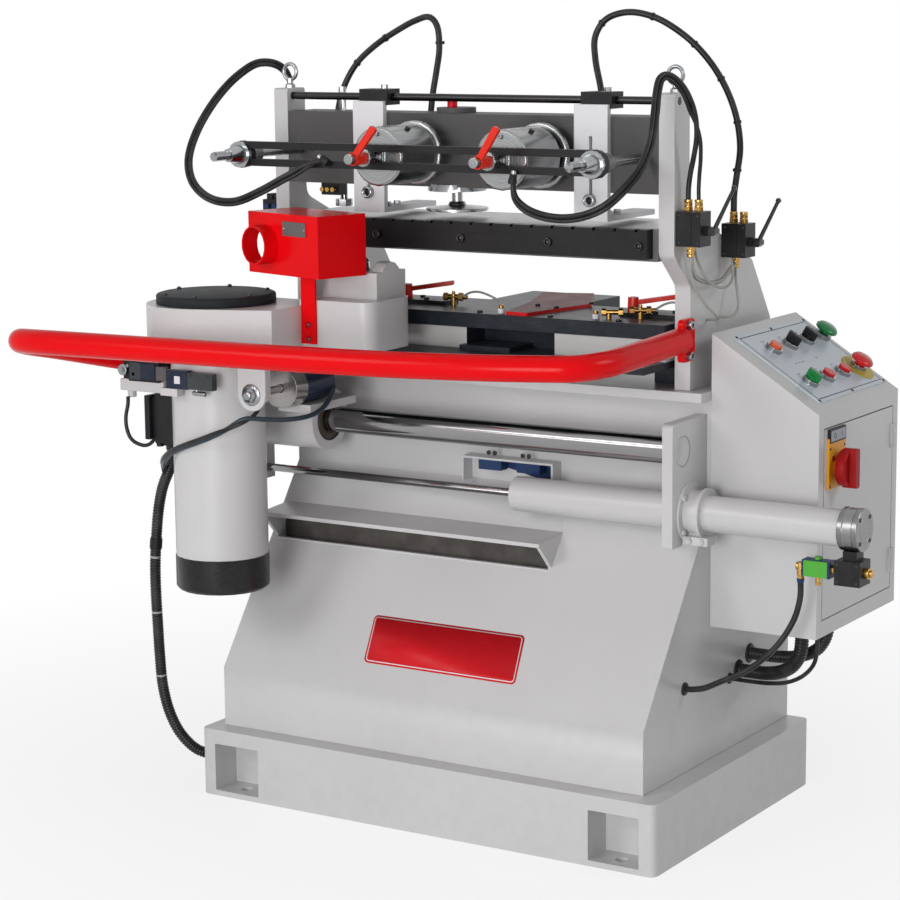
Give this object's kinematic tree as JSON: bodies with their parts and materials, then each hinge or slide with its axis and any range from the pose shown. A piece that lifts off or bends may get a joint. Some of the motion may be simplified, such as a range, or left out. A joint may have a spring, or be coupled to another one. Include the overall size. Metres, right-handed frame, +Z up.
{
  "type": "dovetailing machine",
  "caption": "Floor-standing woodworking machine: a motor-driven cutter head on a guide shaft follows a template under clamped boards, with air clamps, guard bar and control cabinet",
  "frame": {"origin": "on the floor, under the middle of the plinth", "axes": "+X to the right of the operator who stands in front, +Y away from the operator, +Z up"},
  "size_m": [1.4245, 0.8271, 1.3632],
  "materials": {
    "paint": "satin machine enamel, light warm grey",
    "dark_paint": "dark grey enamel",
    "table_grey": "mid grey enamel with a machined top",
    "dark_steel": "blackened steel, light oil",
    "white_plate": "off-white laminate plate",
    "chrome": "ground and chromed rod",
    "zinc": "zinc-plated, turned",
    "lever_red": "orange-red coated handle",
    "blue_black": "dark blue anodised barrel",
    "black_plastic": "black, fine grain",
    "rubber": "black hose rubber",
    "guard_red": "bright red gloss enamel",
    "template_blue": "dark laminate",
    "switch_red": "dark red knob",
    "signal_orange": "lit push button",
    "signal_green": "green cap",
    "signal_red": "red cap"
  },
  "bodies": {
    "frame": {"plinth": "paint", "stand_body": "paint", "post_left": "paint", "post_right": "paint", "clamp_beam": "dark_paint", "work_table": "table_grey", "comb_bar": "dark_steel", "top_rod": "dark_steel", "shaft_bracket": "paint", "guide_shaft": "chrome", "feed_cylinder": "paint", "cylinder_end_cap": "zinc", "template_base": "white_plate", "template_plate": "template_blue", "control_cabinet": "paint", "hand_valves": "black_plastic", "guard_bar": "guard_red", "motor_conduit": "rubber", "hose_left": "rubber", "hose_right": "rubber", "hose_rear_left": "rubber", "hose_rear_right": "rubber", "feed_hose": "rubber", "cabinet_conduit": "rubber"},
    "carriage": {"carriage": "paint", "piston_rod": "chrome", "cross_cylinder": "blue_black", "limit_switch": "black_plastic"},
    "roller": {"guide_roller": "dark_steel"},
    "head": {"head_casting": "paint", "motor_case": "paint", "belt_cover": "black_plastic", "drive_belt": "rubber", "dust_hood": "guard_red"},
    "rotor": {"motor_rotor": "dark_steel"},
    "spindle": {"spindle": "chrome"},
    "clamp_rail": {"clamp_rail": "dark_steel"},
    "cylinder_left": {"clamp_cylinder_left": "zinc"},
    "cylinder_right": {"clamp_cylinder_right": "zinc"},
    "pad_left": {"clamp_pad_left": "zinc"},
    "pad_right": {"clamp_pad_right": "zinc"},
    "ratchet_left": {"ratchet_lever_left": "lever_red"},
    "ratchet_right": {"ratchet_lever_right": "lever_red"},
    "hold_down": {"hold_down_foot": "chrome"},
    "stop_left": {"stop_left": "white_plate"},
    "stop_right": {"stop_right": "white_plate"},
    "template_lever_left": {"template_lever_left": "lever_red"},
    "template_lever_right": {"template_lever_right": "lever_red"},
    "door": {"cabinet_door": "paint"},
    "main_switch": {"main_switch": "switch_red"},
    "button_orange": {"push_button_orange": "signal_orange"},
    "selector_first": {"selector_first": "black_plastic"},
    "selector_second": {"selector_second": "black_plastic"},
    "start_mushroom": {"start_mushroom": "signal_green"},
    "selector_green": {"selector_green": "signal_green"},
    "button_red": {"push_button_red": "signal_red"},
    "button_red_second": {"push_button_red_second": "signal_red"},
    "stop_mushroom": {"stop_mushroom": "signal_red"},
    "valve_lever_front": {"valve_lever_front": "chrome"},
    "valve_lever_rear": {"valve_lever_rear": "chrome"}
  },
  "joints": [
    {"name": "feed_travel", "type": "slide", "parent": "frame", "child": "carriage", "axis": [1, 0, 0], "range_m": [0, 0.45], "deforming": ["motor_conduit"]},
    {"name": "head_travel", "type": "slide", "parent": "carriage", "child": "head", "axis": [0, 1, 0], "range_m": [0, 0.05], "deforming": ["motor_conduit"]},
    {"name": "roller_turn", "type": "hinge", "parent": "carriage", "child": "roller", "pos_m": [-0.407, -0.0763, 0.738], "axis": [0, 0, 1], "continuous": true},
    {"name": "motor_turn", "type": "hinge", "parent": "head", "child": "rotor", "pos_m": [-0.391, -0.297, 0.6], "axis": [0, 0, 1], "continuous": true},
    {"name": "spindle_turn", "type": "hinge", "parent": "head", "child": "spindle", "pos_m": [-0.168, -0.19, 0.9], "axis": [0, 0, 1], "continuous": true},
    {"name": "rail_adjust", "type": "slide", "parent": "frame", "child": "clamp_rail", "axis": [0, 1, 0], "range_m": [-0.02, 0], "deforming": ["hose_left", "hose_right"]},
    {"name": "cylinder_left_shift", "type": "slide", "parent": "clamp_rail", "child": "cylinder_left", "axis": [1, 0, 0], "range_m": [-0.03, 0.05]},
    {"name": "cylinder_right_shift", "type": "slide", "parent": "clamp_rail", "child": "cylinder_right", "axis": [1, 0, 0], "range_m": [-0.05, 0.03]},
    {"name": "pad_left_stroke", "type": "slide", "parent": "cylinder_left", "child": "pad_left", "axis": [0, 1, 0], "range_m": [0, 0.026]},
    {"name": "pad_right_stroke", "type": "slide", "parent": "cylinder_right", "child": "pad_right", "axis": [0, 1, 0], "range_m": [-0.012, 0.014]},
    {"name": "ratchet_left_turn", "type": "hinge", "parent": "cylinder_left", "child": "ratchet_left", "pos_m": [-0.086, -0.313, 1.1295], "axis": [0, 1, 0], "range_deg": [-180, 180]},
    {"name": "ratchet_right_turn", "type": "hinge", "parent": "cylinder_right", "child": "ratchet_right", "pos_m": [0.15, -0.313, 1.1295], "axis": [0, 1, 0], "range_deg": [-180, 180]},
    {"name": "hold_down_stroke", "type": "slide", "parent": "frame", "child": "hold_down", "axis": [0, 0, 1], "range_m": [-0.012, 0], "stiffness_N_per_m": 2500, "springref_m": 0.016},
    {"name": "stop_left_shift", "type": "slide", "parent": "frame", "child": "stop_left", "axis": [1, 0, 0], "range_m": [-0.025, 0.025]},
    {"name": "stop_right_shift", "type": "slide", "parent": "frame", "child": "stop_right", "axis": [1, 0, 0], "range_m": [-0.025, 0.025]},
    {"name": "template_left_turn", "type": "hinge", "parent": "frame", "child": "template_lever_left", "pos_m": [-0.218, 0.034, 0.87], "axis": [0, 0, 1], "range_deg": [-60, 60]},
    {"name": "template_right_turn", "type": "hinge", "parent": "frame", "child": "template_lever_right", "pos_m": [0.235, 0.034, 0.87], "axis": [0, 0, 1], "range_deg": [-60, 60]},
    {"name": "door_turn", "type": "hinge", "parent": "frame", "child": "door", "pos_m": [0.6056, 0.281, 0.536], "axis": [0, 0, 1], "range_deg": [0, 110]},
    {"name": "main_switch_turn", "type": "hinge", "parent": "door", "child": "main_switch", "pos_m": [0.62, 0.042, 0.6266], "axis": [1, 0, 0], "range_deg": [0, 90]},
    {"name": "valve_front_turn", "type": "hinge", "parent": "frame", "child": "valve_lever_front", "pos_m": [0.4386, -0.077, 1.0132], "axis": [0, 1, 0], "range_deg": [-30, 0]},
    {"name": "valve_rear_turn", "type": "hinge", "parent": "frame", "child": "valve_lever_rear", "pos_m": [0.4386, 0.089, 0.9812], "axis": [0, 1, 0], "range_deg": [-30, 0]},
    {"name": "selector_first_turn", "type": "hinge", "parent": "frame", "child": "selector_first", "pos_m": [0.4704, 0.147, 0.8031], "axis": [0.5332, 0, 0.846], "range_deg": [-45, 45]},
    {"name": "selector_second_turn", "type": "hinge", "parent": "frame", "child": "selector_second", "pos_m": [0.4704, 0.212, 0.8031], "axis": [0.5332, 0, 0.846], "range_deg": [-45, 45]},
    {"name": "selector_green_turn", "type": "hinge", "parent": "frame", "child": "selector_green", "pos_m": [0.5448, 0.064, 0.7562], "axis": [0.5332, 0, 0.846], "range_deg": [-45, 45]},
    {"name": "button_orange_press", "type": "slide", "parent": "frame", "child": "button_orange", "axis": [-0.5332, 0, -0.846], "range_m": [0, 0.003], "stiffness_N_per_m": 1200},
    {"name": "button_red_press", "type": "slide", "parent": "frame", "child": "button_red", "axis": [-0.5332, 0, -0.846], "range_m": [0, 0.003], "stiffness_N_per_m": 1200},
    {"name": "button_red_second_press", "type": "slide", "parent": "frame", "child": "button_red_second", "axis": [-0.5332, 0, -0.846], "range_m": [0, 0.003], "stiffness_N_per_m": 1200},
    {"name": "start_press", "type": "slide", "parent": "frame", "child": "start_mushroom", "axis": [-0.5332, 0, -0.846], "range_m": [0, 0.005], "stiffness_N_per_m": 1500},
    {"name": "stop_press", "type": "slide", "parent": "frame", "child": "stop_mushroom", "axis": [-0.5332, 0, -0.846], "range_m": [0, 0.005]}
  ],
  "couplings": [
    {"joint": "spindle_turn", "follows": "motor_turn", "ratio": 2.4889}
  ]
}
